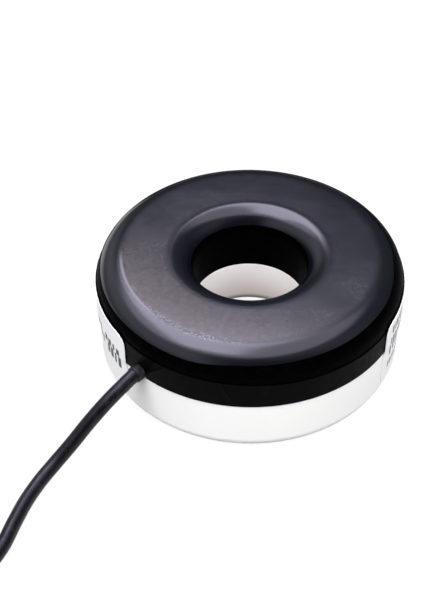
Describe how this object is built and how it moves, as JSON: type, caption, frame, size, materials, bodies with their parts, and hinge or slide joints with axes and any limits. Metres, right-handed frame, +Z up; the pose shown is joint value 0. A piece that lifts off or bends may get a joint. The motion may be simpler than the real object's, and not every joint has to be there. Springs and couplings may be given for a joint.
{
  "type": "solid-core current transformer",
  "caption": "Ring-shaped current transformer: black cover on a white tray, black band round the joint, blank side labels, and a thin black two-core lead wound into a coil.",
  "frame": {"origin": "centre of the bore, on the surface that the case stands on", "axes": "+Z up along the bore axis, from the white tray to the black cover; -Y towards the camera of the picture, with the lead leaving at the front left, between -X and -Y"},
  "size_m": [0.167, 0.1333, 0.0315],
  "materials": {
    "black_plastic": "moulded, fine satin texture",
    "white_plastic": "moulded, smooth satin",
    "black_tape": "vinyl tape, dull",
    "label_film": "label film, matt",
    "lead_rubber": "moulded rubber, dull",
    "lead_jacket": "extruded soft plastic, satin",
    "strip_steel": "wound silicon steel strip",
    "cap_plastic": "natural nylon",
    "copper": "enamelled copper wire, glossy",
    "foam": "closed-cell foam",
    "board_laminate": "glass-fibre board with green lacquer",
    "resistor_coat": "lacquered film resistor",
    "diode_glass": "moulded black epoxy",
    "winding_sleeve": "varnished sleeving",
    "white_insulation": "extruded core insulation",
    "black_insulation": "extruded core insulation",
    "tie_nylon": "nylon tie",
    "shrink_sleeve": "shrunk sleeve",
    "tinned_copper": "tinned strands"
  },
  "bodies": {
    "root": {"top_shell": "black_plastic", "bottom_shell": "white_plastic", "joint_band": "black_tape", "label_left": "label_film", "label_right": "label_film", "core": "strip_steel", "core_cap_lower": "cap_plastic", "core_cap_upper": "cap_plastic", "secondary_winding": "copper", "core_cushion_lower": "foam", "core_cushion_upper": "foam", "terminal_board": "board_laminate", "burden_resistor": "resistor_coat", "clamp_diode": "diode_glass", "winding_lead_start": "winding_sleeve", "winding_lead_finish": "winding_sleeve", "inner_core_white": "white_insulation", "inner_core_black": "black_insulation", "strain_tie": "tie_nylon", "cable_grommet": "lead_rubber", "cable": "lead_jacket", "cable_coil": "lead_jacket", "cable_tail": "lead_jacket", "coil_tie": "tie_nylon", "cable_end_sleeve": "shrink_sleeve", "end_core_white": "white_insulation", "end_core_black": "black_insulation", "end_tip_white": "tinned_copper", "end_tip_black": "tinned_copper"}
  },
  "joints": []
}
